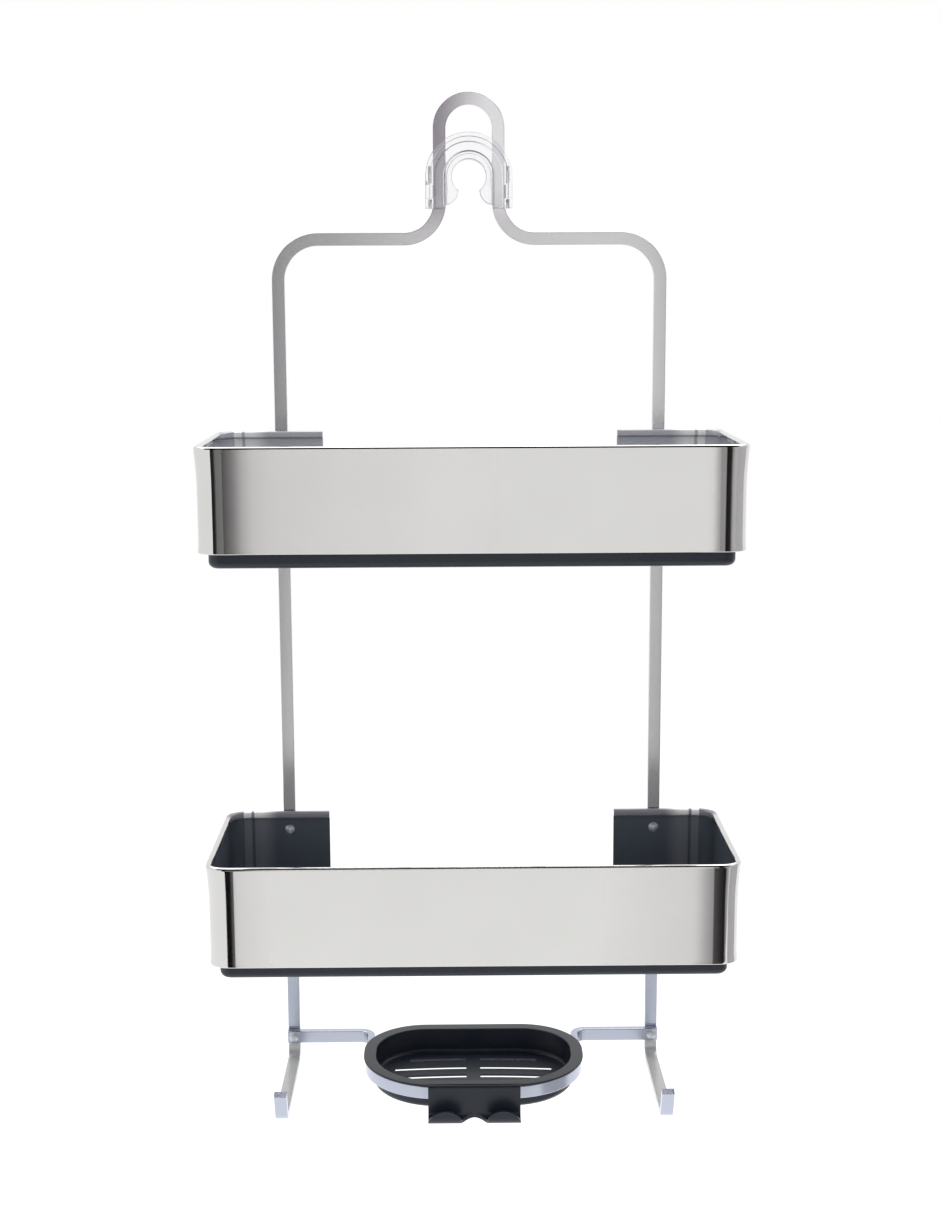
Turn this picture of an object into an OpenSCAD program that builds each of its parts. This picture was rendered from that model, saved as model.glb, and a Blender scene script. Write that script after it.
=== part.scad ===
// Two-tier shower caddy that hangs from a shower arm.
// Units are millimetres. The origin is where the shower arm's axis crosses the
// middle plane of the frame bar. +X is right, +Y is towards the wall, +Z is up.

/* [Frame bar] */
// Width of the flat bar, seen from the front
bar_w = 7.8; // [7.2:0.1:8.2]
// Thickness of the flat bar, front to back
bar_t = 4.8; // [4.2:0.1:5.2]
// Distance between the middles of the two upright bars
bar_spacing = 240; // [232:1:246]
// Radius of the top loop, to the middle of the bar
loop_r = 18.3; // [18.1:0.1:18.5]
// Height of the top loop's centre above the shower arm's axis
loop_rise = 29.3; // [26:0.1:34]
// Depth of the shoulder bar below the shower arm's axis
shoulder_drop = 37.8; // [37.4:0.1:40]
// Radius of the bend from each neck leg to the shoulder, to the middle of the bar
neck_bend_r = 22.5; // [21:0.5:23]
// Radius of the shoulder corners, to the middle of the bar
shoulder_bend_r = 25.5; // [18:0.5:32]

/* [Hooks] */
// Depth of the hook's middle line below the shower arm's axis
hook_drop = 579.2; // [577:0.1:590]
// Radius of the bend where the bar turns forward, to its middle
hook_bend_r = 10; // [6:0.1:11]
// Length of the hook's straight run
hook_run = 82.7; // [70:0.1:88]
// Angle by which the run climbs towards the tip
hook_climb = 1.5; // [0:0.1:3]
// Radius of the bend at the tip, to the middle of the bar
tip_bend_r = 6; // [5:0.1:8]
// Length of the tip beyond its bend
tip_len = 15.6; // [10:0.1:18]
// Angle by which the tip leans forward from the vertical
tip_lean = 23; // [10:1:35]

/* [Baskets] */
// Outer width of a basket's wall
basket_w = 318.4; // [305:0.2:325]
// Outer depth of a basket
basket_d = 124.1; // [115:0.1:135]
// Height of a basket's metal band
basket_h = 62; // [55:0.5:75]
// Outer radius of a basket's corners
basket_corner_r = 13; // [11:0.5:18]
// Gap between the two ends of the band, at the back
back_gap = 187; // [160:1:200]
// Thickness of the band's wall
band_t = 1.2; // [1:0.1:1.5]
// Width of the hem that is rolled inward round the top edge
hem_w = 3.7; // [3:0.1:4.2]
// Height of the rolled hem
hem_h = 4.6; // [3:0.1:6]
// How far the rim flares out beyond the wall, at the two sides
rim_flare = 1.6; // [0.2:0.1:2]
// Width of the lip that is turned inward round the bottom edge
lip_w = 3.6; // [3:0.1:3.8]
// Depth of the upper rim below the shower arm's axis
rim_drop = 157; // [150:0.5:170]
// Distance from the upper rim down to the lower rim
tier_spacing = 249.5; // [230:0.5:255]

/* [Trays] */
// How far a tray stands out below its band
tray_drop = 9.2; // [6:0.1:12]
// Gap from the band's outer face to the tray's pan, at the sides
tray_side_gap = 5.7; // [4.6:0.1:6.6]
// Gap from the band's outer face to the tray's pan, front and back
tray_front_gap = 6; // [4.6:0.1:8]
// Thickness of the tray's plastic
tray_t = 2; // [1.6:0.1:2.4]
// Height of the tray's rim above the bottom of the band
tray_rim_rise = 5.5; // [4:0.1:8]
// Number of rows of drain slots
tray_slot_rows = 7; // [3:1:8]
// Number of drain slots in each row
tray_slot_columns = 3; // [2:1:4]

/* [Soap bracket] */
// Height of the bracket's bar, which stands on edge
bracket_h = 8.2; // [7:0.1:9]
// Depth of the bracket's top edge below the shower arm's axis
bracket_drop = 558.6; // [555:0.1:560]
// Half the width between the middles of the bracket's two sides
bracket_half_w = 67.6; // [64:0.1:72]
// Radius of the bends from the arms to the sides, to the middle of the bar
bracket_bend_r = 7.9; // [6:0.1:10]
// Radius of the bracket's front corners, to the middle of the bar
bracket_front_r = 45.2; // [44:0.1:46]

/* [Soap dish] */
// Distance from the frame bar's middle plane to the dish's middle
dish_forward = 48.55; // [48:0.05:50]
// How far the dish's flange reaches over the bracket's outer face
flange_overhang = 1; // [0.8:0.1:2]
// Width of the flange, from its outer edge to the basin
flange_w = 8; // [8:0.1:9.5]
// Thickness of the flange
flange_t = 1.3; // [1:0.1:2]
// Radius of the dish's two back corners
dish_back_r = 40; // [36:0.5:44]
// Depth of the dish from the flange's top to its underside
dish_depth = 17.7; // [15:0.1:22]
// Distance between the rows of drain slots
dish_slot_pitch = 13.2; // [12:0.1:13.6]
// Width of the drain slots in the soap dish
dish_slot_w = 4.6; // [3:0.1:5]
// Width of the drain slots in the row nearest the wall
dish_back_slot_w = 3; // [2:0.1:5]
// Radius of the curve that the slots follow
dish_slot_bow_r = 500; // [300:10:900]

/* [Razor holder] */
// Width of the holder
holder_w = 57.5; // [50:0.5:60]
// Height of the holder, from the flange's top to its lowest point
holder_h = 22; // [18:0.1:26]
// Thickness of the holder's plastic
holder_t = 2; // [1.6:0.1:2.4]
// Inner radius of the trough along the bottom
trough_r = 3.7; // [3:0.1:5]
// Height of the two lips above the trough's centre
lip_rise = 3.9; // [2:0.1:5]
// Radius of each lip's rounded outline
lip_r = 12.2; // [11:0.1:13]
// Radius of the notch for the razor's handle
notch_r = 8.6; // [7:0.1:9.2]

/* [Arm saddle] */
// Radius of the keyhole that grips the shower arm
keyhole_r = 10.7; // [10.2:0.1:11.2]
// Outer radius of the saddle's arch
arch_r = 27; // [26.5:0.1:29]
// Depth of the saddle's legs below the shower arm's axis
saddle_drop = 19.4; // [18:0.1:19.6]
// Length of the collar along the shower arm
collar_len = 11.4; // [10:0.1:14]
// Gap between the saddle and the bar that it slides on
slide_gap = 0.5; // [0.4:0.05:0.6]
// Thickness of the saddle's front plate
plate_t = 2; // [1.6:0.1:2.4]

/* [Rivets] */
// Radius of a rivet's domed head
rivet_head_r = 3.3; // [3:0.1:3.6]
// Height of a rivet's domed head
rivet_head_h = 1.8; // [1.2:0.1:2.2]
// Radius of a rivet's shank
rivet_shank_r = 2; // [1.6:0.1:2.2]
// Depth of a basket's rivets below its rim
rivet_drop = 12.8; // [8:0.1:20]

/* [Hidden] */

$fn = 96;
cut = 1;
bend_facet = 6;
seat_gap = 0.1;
rivet_hole_gap = 0.1;

aluminium = [0.71, 0.72, 0.74];
polished = [0.84, 0.84, 0.83];
charcoal = [0.13, 0.13, 0.15];
clear_plastic = [0.93, 0.93, 0.96, 0.45];
rivet_metal = [0.66, 0.67, 0.69];

side_x = bar_spacing / 2;
bar_front = -bar_t / 2;
bar_back = bar_t / 2;

upper_rim = -rim_drop;
lower_rim = -rim_drop - tier_spacing;
basket_y = bar_front - basket_d / 2;

bracket_top = -bracket_drop;
bracket_z = bracket_top - bracket_h / 2;
bracket_arm_y = bar_front - bar_t / 2;
bracket_front_y = -dish_forward - bracket_front_r;

flange_half_w = bracket_half_w + bar_t / 2 + flange_overhang;
flange_half_d = bracket_front_r + bar_t / 2 + flange_overhang;
flange_top = bracket_top + seat_gap + flange_t;
dish_bottom = flange_top - dish_depth;
dish_bottom_step = 3;
basin_wall = 1.6;
basin_gap = flange_w - basin_wall;
basin_floor = 1.3;
dish_slot_shift = 2.6;

holder_back = -dish_forward - flange_half_d + 0.3;
holder_front = holder_back - holder_t;
holder_bottom = flange_top - holder_h;
trough_y = holder_front - trough_r;
trough_z = holder_bottom + trough_r + holder_t;
lip_front = trough_y - trough_r - holder_t;
lip_top = trough_z + lip_rise;
lip_x = 17.7;
notch_y = lip_front + 0.9;

channel_in = loop_r - bar_w / 2 - slide_gap;
channel_out = loop_r + bar_w / 2 + slide_gap;
wall_in = channel_out + 0.3;
plate_back = bar_front - slide_gap;
plate_front = plate_back - plate_t;
collar_front = -collar_len / 2 - 0.7;
collar_back = collar_front + collar_len;

// ---- helpers ----

// A flat bar bent in the XY plane, with right-angle bends. It starts at the
// origin, heading along +X. Each step is [length, 0] for a straight or
// [radius, angle] for a bend, and a left turn has a positive angle.
module bent_bar(steps, in_plane, across, i = 0) {
    if (i < len(steps)) {
        size = steps[i][0];
        turn = steps[i][1];
        if (turn == 0) {
            translate([0, -in_plane / 2, -across / 2])
                cube([size, in_plane, across]);
            translate([size, 0, 0])
                bent_bar(steps, in_plane, across, i + 1);
        } else {
            side = sign(turn);
            translate([0, side * size, 0])
                rotate([0, 0, side > 0 ? -90 : 90 + turn])
                    rotate_extrude(angle = abs(turn))
                        translate([size, 0])
                            square([in_plane, across], center = true);
            translate([size * sin(abs(turn)), side * size * (1 - cos(turn)), 0])
                rotate([0, 0, turn])
                    bent_bar(steps, in_plane, across, i + 1);
        }
    }
}

// Unit vector to the left of a heading
function left_of(heading) = [-sin(heading), cos(heading)];

// One edge of a bent strip that starts at pos, a distance to the left of its
// middle line. The steps are those of bent_bar, at any angle.
function strip_edge(steps, off, pos, heading, i = 0) =
    i == len(steps) ? [] :
    let (size = steps[i][0], turn = steps[i][1], side = sign(turn))
    turn == 0
        ? let (end = pos + size * [cos(heading), sin(heading)])
            concat([end + off * left_of(heading)],
                   strip_edge(steps, off, end, heading, i + 1))
        : let (middle = pos + side * size * left_of(heading),
               last = heading + turn,
               facets = ceil(abs(turn) / bend_facet))
            concat([for (k = [1 : facets])
                        middle - side * (size - side * off)
                            * left_of(heading + turn * k / facets)],
                   strip_edge(steps, off, middle - side * size * left_of(last),
                              last, i + 1));

// A flat bar bent in the XY plane at any angles, in one extrusion
module bent_strip(steps, in_plane, across) {
    half = in_plane / 2;
    left_edge = concat([[0, half]], strip_edge(steps, half, [0, 0], 0));
    right_edge = concat([[0, -half]], strip_edge(steps, -half, [0, 0], 0));
    last = len(right_edge) - 1;
    linear_extrude(across, center = true)
        polygon(concat(left_edge, [for (i = [0 : last]) right_edge[last - i]]));
}

// Both sides of a shape that is symmetric left to right
module both_sides() {
    children();
    mirror([1, 0, 0]) children();
}

// Rectangle with rounded corners, centred on the origin
module rounded_plan(w, d, r) {
    square([w - 2 * r, d], center = true);
    square([w, d - 2 * r], center = true);
    for (sx = [-1, 1], sy = [-1, 1])
        translate([sx * (w / 2 - r), sy * (d / 2 - r)]) circle(r);
}

// The basket's outline, moved inward by a distance
module basket_plan(side_in, front_in) {
    r = max(basket_corner_r - (side_in + front_in) / 2, 2);
    rounded_plan(basket_w - 2 * side_in, basket_d - 2 * front_in, r);
}

// A hole or pin along Y, from y = from to y = to
module along_y(x, z, r, from, to) {
    translate([x, to, z]) rotate([90, 0, 0]) cylinder(r = r, h = to - from);
}

// ---- frame ----

neck_z = neck_bend_r - shoulder_drop;
shoulder_len = side_x - loop_r - neck_bend_r - shoulder_bend_r;
side_top = -shoulder_drop - shoulder_bend_r;
hook_bend_z = hook_bend_r - hook_drop;

// From the top of the loop to the end of the shoulder, seen from the front
front_steps = [
    [loop_r, -90],
    [loop_rise - neck_z, 0],
    [neck_bend_r, 90],
    [shoulder_len, 0],
    [shoulder_bend_r, -90]
];

// From the shoulder down the upright bar to the hook's tip, seen from the side
side_steps = [
    [side_top - hook_bend_z, 0],
    [hook_bend_r, -90 - hook_climb],
    [hook_run, 0],
    [tip_bend_r, -90 + hook_climb + tip_lean],
    [tip_len, 0]
];

module frame_bar() {
    color(aluminium) difference() {
        both_sides() {
            translate([0, 0, loop_rise + loop_r])
                rotate([90, 0, 0]) bent_bar(front_steps, bar_w, bar_t);
            translate([side_x, 0, side_top])
                rotate([90, 0, 90]) rotate([0, 0, -90])
                    bent_strip(side_steps, bar_t, bar_w);
        }
        both_sides()
            for (z = [upper_rim - rivet_drop, lower_rim - rivet_drop, bracket_z])
                along_y(side_x, z, rivet_shank_r + rivet_hole_gap,
                        bar_front - cut, bar_back + cut);
    }
}

// ---- baskets ----

module basket_band(rim) {
    color(polished) difference() {
        translate([0, basket_y, rim - basket_h]) union() {
            linear_extrude(basket_h) difference() {
                basket_plan(0, 0);
                basket_plan(band_t, band_t);
            }
            translate([0, 0, basket_h - hem_h]) linear_extrude(hem_h) difference() {
                basket_plan(-rim_flare, 0);
                basket_plan(hem_w - rim_flare, hem_w);
            }
            linear_extrude(band_t) difference() {
                basket_plan(0, 0);
                basket_plan(lip_w, lip_w);
            }
        }
        translate([-back_gap / 2, bar_front - 2 * hem_w, rim - basket_h - cut])
            cube([back_gap, 2 * hem_w + cut, basket_h + 2 * cut]);
        both_sides()
            along_y(side_x, rim - rivet_drop, rivet_shank_r + rivet_hole_gap,
                    bar_front - band_t - cut, bar_front + cut);
    }
}

tray_gap = 0.4;
tray_ledge_z = band_t + seat_gap;
tray_rim_t = 1.6;
tray_edge = 1.5;
tray_slot_w = 4;
tray_slot_margin = 14;

// Places a child at every drain slot of a tray
module at_tray_slots(field_w, field_d) {
    pitch_x = field_w / tray_slot_columns;
    pitch_y = field_d / tray_slot_rows;
    for (i = [0 : tray_slot_columns - 1], j = [0 : tray_slot_rows - 1])
        translate([(i + 0.5) * pitch_x - field_w / 2, (j + 0.5) * pitch_y - field_d / 2])
            children();
}

module tray(rim) {
    field_w = basket_w - 2 * tray_side_gap - 2 * tray_slot_margin;
    field_d = basket_d - 2 * tray_front_gap - 2 * tray_slot_margin;
    slot_len = field_w / tray_slot_columns - 2 * tray_slot_w;
    color(charcoal) translate([0, basket_y, rim - basket_h]) difference() {
        union() {
            translate([0, 0, -tray_drop]) linear_extrude(tray_edge)
                basket_plan(tray_side_gap + tray_edge, tray_front_gap + tray_edge);
            translate([0, 0, tray_edge - tray_drop])
                linear_extrude(tray_drop - tray_edge + tray_ledge_z)
                    basket_plan(tray_side_gap, tray_front_gap);
            translate([0, 0, tray_ledge_z])
                linear_extrude(tray_rim_rise - tray_ledge_z)
                    basket_plan(band_t + tray_gap, band_t + tray_gap);
        }
        translate([0, 0, tray_t - tray_drop])
            linear_extrude(tray_drop + tray_rim_rise)
                basket_plan(tray_side_gap + tray_t, tray_front_gap + tray_t);
        translate([0, 0, tray_ledge_z + tray_rim_t]) linear_extrude(tray_rim_rise)
            basket_plan(band_t + tray_gap + tray_rim_t, band_t + tray_gap + tray_rim_t);
        translate([0, 0, -tray_drop - cut]) linear_extrude(tray_t + 2 * cut)
            at_tray_slots(field_w, field_d)
                rounded_plan(slot_len, tray_slot_w, tray_slot_w / 2 - 0.01);
    }
}

// ---- soap bracket and soap dish ----

arm_len = side_x + bar_w / 2 - bracket_half_w - bracket_bend_r;
bracket_side_len = dish_forward + bracket_arm_y - bracket_bend_r;

// Half of the bracket, from its riveted end to the middle of its front
bracket_steps = [
    [arm_len, 0],
    [bracket_bend_r, -90],
    [bracket_side_len, 0],
    [bracket_front_r, 90],
    [bracket_half_w - bracket_front_r, 0]
];

module soap_bracket() {
    color(aluminium) difference() {
        both_sides()
            translate([-side_x - bar_w / 2, bracket_arm_y, bracket_z])
                bent_bar(bracket_steps, bar_t, bracket_h);
        both_sides()
            along_y(side_x, bracket_z, rivet_shank_r + rivet_hole_gap,
                    bar_front - bar_t - cut, bar_front + cut);
    }
}

// The dish's outline, moved inward by a distance. Its front is rounder than its back.
module dish_plan(inward) {
    front_x = flange_half_w - flange_half_d;
    back_x = flange_half_w - dish_back_r;
    back_y = flange_half_d - dish_back_r;
    for (s = [-1, 1]) {
        translate([s * front_x, 0]) circle(flange_half_d - inward);
        translate([s * back_x, back_y]) circle(dish_back_r - inward);
    }
    translate([-front_x, inward - flange_half_d]) square([2 * front_x, flange_half_d]);
    translate([-back_x, 0]) square([2 * back_x, flange_half_d - inward]);
    translate([inward - flange_half_w, 0]) square([2 * (flange_half_w - inward), back_y]);
}

// One row of drain slots, with a bridge across its middle
module dish_slot_row(row_y, half_len, slot_w) {
    bridge = 9.2;
    half_angle = asin(half_len / dish_slot_bow_r);
    difference() {
        translate([0, row_y - dish_slot_bow_r, 0])
            rotate([0, 0, 90 - half_angle])
                rotate_extrude(angle = 2 * half_angle, $fn = 720)
                    translate([dish_slot_bow_r, 0])
                        square([slot_w, 3 * basin_floor], center = true);
        cube([bridge, 2 * flange_half_d, 4 * basin_floor], center = true);
    }
}

module dish_basin() {
    floor_in = flange_w + dish_bottom_step - basin_wall;
    slot_margin = 7;
    difference() {
        union() {
            translate([0, 0, flange_top - flange_t]) linear_extrude(flange_t) dish_plan(0);
            translate([0, 0, dish_bottom + dish_bottom_step])
                linear_extrude(dish_depth - dish_bottom_step) dish_plan(basin_gap);
            translate([0, 0, dish_bottom]) linear_extrude(dish_bottom_step)
                dish_plan(basin_gap + dish_bottom_step - basin_wall);
        }
        translate([0, 0, dish_bottom + dish_bottom_step + basin_floor - basin_wall])
            linear_extrude(dish_depth) dish_plan(flange_w);
        translate([0, 0, dish_bottom + basin_floor])
            linear_extrude(dish_depth) dish_plan(floor_in);
        for (row = [-2 : 2]) {
            row_y = row * dish_slot_pitch + dish_slot_shift;
            arc = sqrt(pow(flange_half_d - floor_in, 2) - pow(row_y, 2));
            translate([0, 0, dish_bottom + basin_floor / 2])
                dish_slot_row(row_y, flange_half_w - flange_half_d + arc - slot_margin,
                              row < 2 ? dish_slot_w : dish_back_slot_w);
        }
    }
}

// Round rod along X, from one side of the holder to the other
module holder_rod(r) {
    translate([-holder_w / 2, trough_y, trough_z])
        rotate([90, 0, 90]) cylinder(r = r, h = holder_w);
}

// The front half of the trough, cut to two rounded lips
module holder_lips() {
    intersection() {
        union() {
            holder_rod(trough_r + holder_t);
            translate([-holder_w / 2, lip_front, trough_z])
                cube([holder_w, trough_r + holder_t, lip_rise]);
        }
        union() {
            for (s = [-1, 1])
                along_y(s * lip_x, lip_top - lip_r, lip_r, lip_front - cut, trough_y);
        }
    }
}

module razor_holder() {
    difference() {
        union() {
            translate([-holder_w / 2, holder_front, trough_z])
                cube([holder_w, holder_t, flange_top - trough_z]);
            translate([-holder_w / 2, holder_front, flange_top - flange_t])
                cube([holder_w, holder_t + 2 * flange_overhang, flange_t]);
            intersection() {
                holder_rod(trough_r + holder_t);
                translate([-holder_w / 2, trough_y, holder_bottom - cut])
                    cube([holder_w, holder_w, trough_z - holder_bottom + cut]);
            }
            holder_lips();
        }
        holder_rod(trough_r);
        translate([-holder_w, trough_y - trough_r, trough_z])
            cube([2 * holder_w, 2 * trough_r, lip_rise + cut]);
        translate([0, notch_y, holder_bottom - cut])
            cylinder(r = notch_r, h = holder_h);
    }
}

module soap_dish() {
    color(charcoal) {
        translate([0, -dish_forward, 0]) dish_basin();
        razor_holder();
    }
}

// ---- arm saddle ----

// An arch of the given radius on two straight legs, in the XZ plane
module arch_plan(r) {
    intersection() {
        circle(r);
        translate([-r, -saddle_drop]) square([2 * r, saddle_drop + r]);
    }
    translate([-r, -saddle_drop]) square([2 * r, saddle_drop]);
}

// The keyhole, with the flared mouth that the shower arm goes in through
module keyhole_plan() {
    mouth_x = 15.2;
    mouth_z = 8.6;
    mouth_r = 8.5;
    circle(keyhole_r);
    difference() {
        translate([-mouth_x, -saddle_drop - cut])
            square([2 * mouth_x, saddle_drop + cut - mouth_z]);
        for (s = [-1, 1]) translate([s * mouth_x, -mouth_z]) circle(mouth_r);
    }
}

// Gives a shape drawn in the XZ plane its depth, from y = from to y = to
module stand(from, to) {
    translate([0, to, 0]) rotate([90, 0, 0]) linear_extrude(to - from) children();
}

// A wall outside the bar, from z = low to z = high
module saddle_wall(low, high, outer, back) {
    translate([wall_in, plate_back - cut / 2, low])
        cube([outer - wall_in, back - plate_back + cut / 2, high - low]);
}

module saddle_side() {
    wall_t = 2.2;
    finger_low = -13;
    finger_high = -4.8;
    slit = 0.8;
    catch_w = 1.8;
    catch_t = 1.4;
    wall_top = 6.5;
    wall_out = wall_in + wall_t;
    catch_back = bar_back + slide_gap + catch_t;
    saddle_wall(-saddle_drop, finger_low - slit, wall_out, bar_back);
    saddle_wall(finger_high + slit, wall_top, wall_out, bar_back);
    saddle_wall(finger_low, finger_high, arch_r, catch_back);
    translate([wall_in - catch_w, bar_back + slide_gap, finger_low])
        cube([catch_w + cut, catch_t, finger_high - finger_low]);
}

module arm_saddle() {
    rim_w = 2.8;
    rim_rise = 1;
    cover_rise = 1.5;
    cover_in = 1.2;
    color(clear_plastic) difference() {
        union() {
            stand(plate_front, plate_back) arch_plan(arch_r);
            stand(plate_front - rim_rise, plate_back) difference() {
                arch_plan(arch_r);
                arch_plan(arch_r - rim_w);
            }
            stand(plate_front - cover_rise, plate_back) difference() {
                arch_plan(channel_out - cover_in);
                arch_plan(channel_in + cover_in);
            }
            stand(collar_front, collar_back) arch_plan(channel_in);
            both_sides() saddle_side();
        }
        stand(collar_front - cut, collar_back + cut) keyhole_plan();
    }
}

// ---- rivets ----

// A domed head on a shank. The head sits on the plane y = face and looks forward.
module rivet(x, z, face) {
    dome_r = (pow(rivet_head_r, 2) + pow(rivet_head_h, 2)) / (2 * rivet_head_h);
    color(rivet_metal) {
        along_y(x, z, rivet_shank_r, face - rivet_head_h / 4, bar_back);
        intersection() {
            translate([x, face - rivet_head_h + dome_r, z])
                rotate([90, 0, 0]) sphere(dome_r);
            along_y(x, z, dome_r, face - 2 * rivet_head_h, face);
        }
    }
}

frame_bar();
arm_saddle();
basket_band(upper_rim);  // upper_basket_band
basket_band(lower_rim);  // lower_basket_band
tray(upper_rim);  // upper_tray
tray(lower_rim);  // lower_tray
soap_bracket();
soap_dish();
rivet(-side_x, upper_rim - rivet_drop, bar_front - band_t);  // upper_left_rivet
rivet(side_x, upper_rim - rivet_drop, bar_front - band_t);  // upper_right_rivet
rivet(-side_x, lower_rim - rivet_drop, bar_front - band_t);  // lower_left_rivet
rivet(side_x, lower_rim - rivet_drop, bar_front - band_t);  // lower_right_rivet
rivet(-side_x, bracket_z, bar_front - bar_t);  // bracket_left_rivet
rivet(side_x, bracket_z, bar_front - bar_t);  // bracket_right_rivet
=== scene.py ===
"""The looks of a hanging two-tier shower caddy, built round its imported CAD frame.

Shapes are in millimetres, in the CAD's own frame, and a mesh becomes metres when
it is made. Places in the materials and in the studio are in metres. +X is right,
+Y is towards the wall and +Z is up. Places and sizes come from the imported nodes,
and what a node can't tell is named below.
"""

import math

import bmesh
import bpy
from mathutils import Matrix, Vector


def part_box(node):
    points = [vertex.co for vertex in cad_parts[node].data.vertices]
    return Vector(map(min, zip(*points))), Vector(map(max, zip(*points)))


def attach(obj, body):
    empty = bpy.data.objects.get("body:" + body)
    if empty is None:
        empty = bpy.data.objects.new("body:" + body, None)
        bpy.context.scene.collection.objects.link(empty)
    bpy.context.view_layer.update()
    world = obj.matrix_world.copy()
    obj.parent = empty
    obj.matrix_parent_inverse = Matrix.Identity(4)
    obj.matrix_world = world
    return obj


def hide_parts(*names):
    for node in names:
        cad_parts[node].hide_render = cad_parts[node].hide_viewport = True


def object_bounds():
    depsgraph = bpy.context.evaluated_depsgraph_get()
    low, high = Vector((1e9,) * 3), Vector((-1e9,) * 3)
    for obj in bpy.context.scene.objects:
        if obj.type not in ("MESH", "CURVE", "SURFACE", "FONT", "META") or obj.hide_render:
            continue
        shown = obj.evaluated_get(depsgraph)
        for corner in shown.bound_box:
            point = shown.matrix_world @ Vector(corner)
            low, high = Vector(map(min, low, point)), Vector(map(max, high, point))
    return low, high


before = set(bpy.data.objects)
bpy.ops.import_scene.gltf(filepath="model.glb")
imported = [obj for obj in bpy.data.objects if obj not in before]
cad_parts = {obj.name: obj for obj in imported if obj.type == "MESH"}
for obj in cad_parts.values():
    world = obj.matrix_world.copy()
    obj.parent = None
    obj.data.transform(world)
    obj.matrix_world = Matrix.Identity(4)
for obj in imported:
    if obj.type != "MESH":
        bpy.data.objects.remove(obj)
cad_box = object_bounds()
MM = 0.001


def node_box(name):
    """Lowest and highest corner of a CAD node, in millimetres."""
    low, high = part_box(name)
    return low / MM, high / MM


# ---- camera ----

SENSOR_WIDTH = 36
FOCAL_LENGTH = 54.3428
CAMERA_PLACE = (-10.85, -1171.33, -69.92)
CAMERA_PITCH = 9.795
CAMERA_YAW = 0.508
CAMERA_ROLL = -0.261


def make_camera():
    """The camera looks a little down at the caddy, from about the height of its shoulders."""
    pitch, yaw, roll = (math.radians(a) for a in (CAMERA_PITCH, CAMERA_YAW, CAMERA_ROLL))
    ahead = Vector((math.sin(yaw) * math.cos(pitch), math.cos(yaw) * math.cos(pitch), -math.sin(pitch)))
    level = Vector((math.cos(yaw), -math.sin(yaw), 0))
    upright = level.cross(ahead)
    right = level * math.cos(roll) + upright * math.sin(roll)
    up = upright * math.cos(roll) - level * math.sin(roll)
    data = bpy.data.cameras.new("camera")
    data.lens = FOCAL_LENGTH
    data.sensor_width = SENSOR_WIDTH
    data.clip_start = 0.01
    data.clip_end = 100
    camera = bpy.data.objects.new("camera", data)
    bpy.context.scene.collection.objects.link(camera)
    turn = Matrix((right, up, -ahead)).transposed().to_4x4()
    camera.matrix_world = Matrix.Translation(Vector(CAMERA_PLACE) * MM) @ turn
    bpy.context.scene.camera = camera


# ---- paths and sections ----

def unit(degrees):
    return Vector((math.cos(math.radians(degrees)), math.sin(math.radians(degrees))))


def arc(centre, radius, start, end, count):
    """Points on an arc, from one angle to another, both ends included."""
    return [
        Vector(centre) + radius * unit(start + (end - start) * i / count)
        for i in range(count + 1)
    ]


def walk(steps, place=(0, 0), heading=0.0, facet=4.0):
    """Points and headings along a path of [length, 0] straights and [radius, angle] bends."""
    place = Vector(place)
    found = [(place.copy(), heading)]
    for size, turn in steps:
        if turn == 0:
            place = place + size * unit(heading)
            found.append((place.copy(), heading))
            continue
        side = math.copysign(1, turn)
        centre = place + side * size * unit(heading + 90)
        count = max(2, math.ceil(abs(turn) / facet))
        for i in range(1, count + 1):
            now = heading + turn * i / count
            found.append((centre - side * size * unit(now + 90), now))
        heading += turn
        place = found[-1][0].copy()
    return found


def rounded_rectangle(width, height, radius, count):
    """A closed outline of a rectangle with rounded corners, centred on zero."""
    w, h = width / 2 - radius, height / 2 - radius
    points = []
    for sx, sy, start in ((1, 1, 0), (-1, 1, 90), (-1, -1, 180), (1, -1, 270)):
        points += arc((sx * w, sy * h), radius, start, start + 90, count)
    return points


# ---- meshes ----

def new_piece(name, bm, material, body, nodes, sharp=40):
    """Turns a bmesh in millimetres into a shaded piece that rides on a body."""
    bmesh.ops.remove_doubles(bm, verts=bm.verts, dist=0.0005)
    bmesh.ops.recalc_face_normals(bm, faces=bm.faces)
    mesh = bpy.data.meshes.new(name)
    bm.to_mesh(mesh)
    bm.free()
    mesh.transform(Matrix.Scale(MM, 4))
    mesh.materials.append(material)
    mesh.polygons.foreach_set("use_smooth", [True] * len(mesh.polygons))
    mesh.set_sharp_from_angle(angle=math.radians(sharp))
    piece = bpy.data.objects.new(name, mesh)
    bpy.context.scene.collection.objects.link(piece)
    flat_faces = piece.modifiers.new("flat_faces", "WEIGHTED_NORMAL")
    flat_faces.keep_sharp = True
    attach(piece, body)
    if nodes:
        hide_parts(*nodes)


def bridge(bm, first, second):
    """Quads between two closed loops of the same length."""
    count = len(first)
    return [
        bm.faces.new((first[i], first[(i + 1) % count], second[(i + 1) % count], second[i]))
        for i in range(count)
    ]


def add_loop(bm, points):
    return [bm.verts.new(p) for p in points]


def fill(bm, loops):
    """Flat faces between an outer loop and the holes in it."""
    edges = set()
    for loop in loops:
        for i, v in enumerate(loop):
            following = loop[(i + 1) % len(loop)]
            edges.add(bm.edges.get((v, following)) or bm.edges.new((v, following)))
    bmesh.ops.triangle_fill(bm, use_beauty=True, use_dissolve=False, edges=list(edges))


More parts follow.
